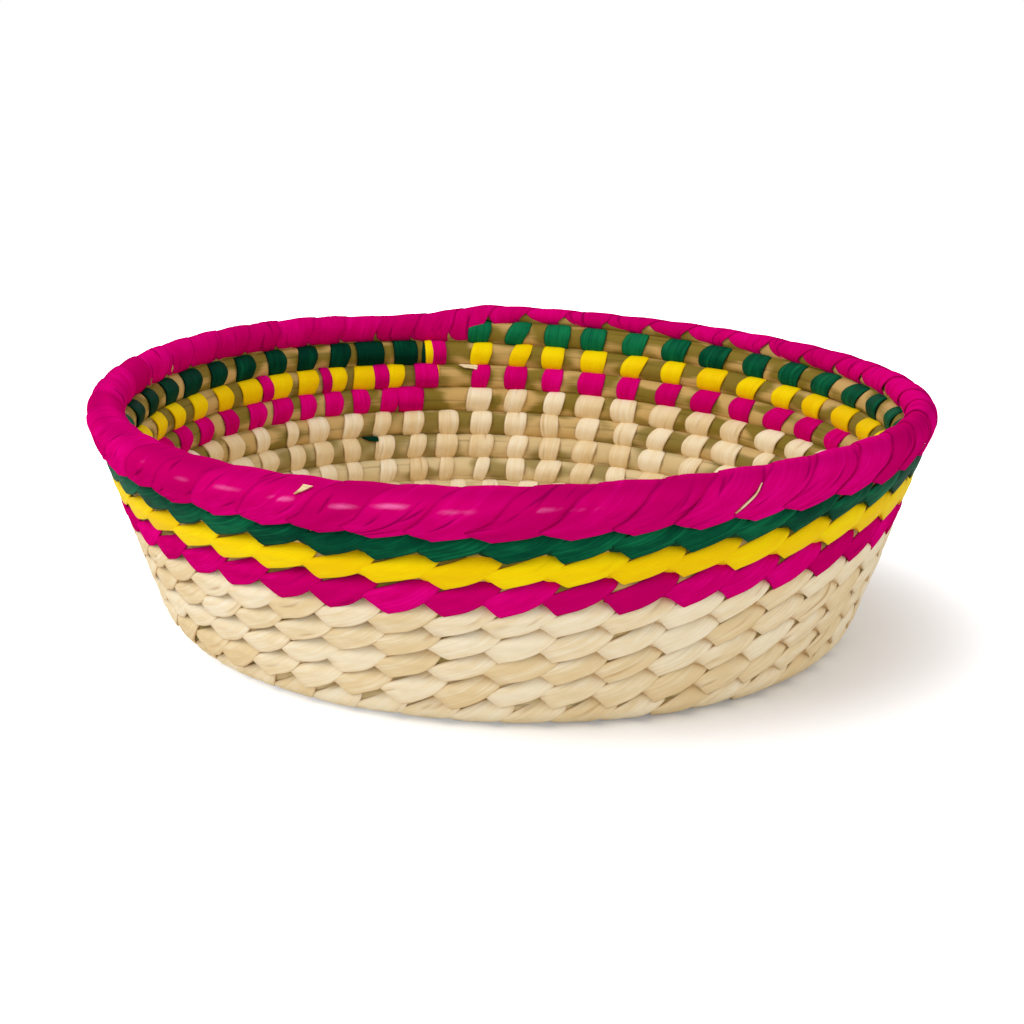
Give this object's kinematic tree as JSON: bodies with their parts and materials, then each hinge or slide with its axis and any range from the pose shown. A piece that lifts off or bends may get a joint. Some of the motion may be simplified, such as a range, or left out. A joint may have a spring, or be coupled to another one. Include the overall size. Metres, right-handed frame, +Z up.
{
  "type": "coiled palm tortilla basket",
  "caption": "Round coiled basket with a flat base and slanting walls, sewn from palm leaf strips with magenta, yellow and green bands below a thick magenta rim.",
  "frame": {"origin": "on the basket's axis, in the plane that the base rests on", "axes": "+Z up out of the open mouth; the rim's tail laps over its start at the far side, close to +Y"},
  "size_m": [0.2828, 0.2844, 0.0844],
  "materials": {
    "palm_fibre_bundle": "rough tan palm fibre",
    "natural_leaf": "undyed palm leaf, soft sheen",
    "magenta_leaf": "dyed palm leaf, soft sheen",
    "yellow_leaf": "dyed palm leaf, soft sheen",
    "green_leaf": "dyed palm leaf, soft sheen"
  },
  "bodies": {
    "root": {"base_strip_01": "natural_leaf", "base_strip_02": "natural_leaf", "base_strip_03": "natural_leaf", "base_strip_04": "natural_leaf", "base_strip_05": "natural_leaf", "base_strip_06": "natural_leaf", "base_strip_07": "natural_leaf", "base_strip_08": "natural_leaf", "base_strip_09": "natural_leaf", "base_strip_10": "natural_leaf", "base_strip_11": "natural_leaf", "foundation_coil": "palm_fibre_bundle", "green_strip_01": "green_leaf", "green_strip_02": "green_leaf", "green_strip_03": "green_leaf", "green_strip_04": "green_leaf", "magenta_strip_01": "magenta_leaf", "magenta_strip_02": "magenta_leaf", "magenta_strip_03": "magenta_leaf", "magenta_strip_04": "magenta_leaf", "natural_strip_01": "natural_leaf", "natural_strip_02": "natural_leaf", "natural_strip_03": "natural_leaf", "natural_strip_04": "natural_leaf", "natural_strip_05": "natural_leaf", "natural_strip_06": "natural_leaf", "natural_strip_07": "natural_leaf", "natural_strip_08": "natural_leaf", "natural_strip_09": "natural_leaf", "natural_strip_10": "natural_leaf", "natural_strip_11": "natural_leaf", "natural_strip_12": "natural_leaf", "natural_strip_13": "natural_leaf", "natural_strip_14": "natural_leaf", "natural_strip_15": "natural_leaf", "natural_strip_16": "natural_leaf", "natural_strip_17": "natural_leaf", "rim_wrap_01": "magenta_leaf", "rim_wrap_02": "magenta_leaf", "rim_wrap_03": "magenta_leaf", "rim_wrap_04": "magenta_leaf", "yellow_strip_01": "yellow_leaf", "yellow_strip_02": "yellow_leaf", "yellow_strip_03": "yellow_leaf", "yellow_strip_04": "yellow_leaf"}
  },
  "joints": []
}
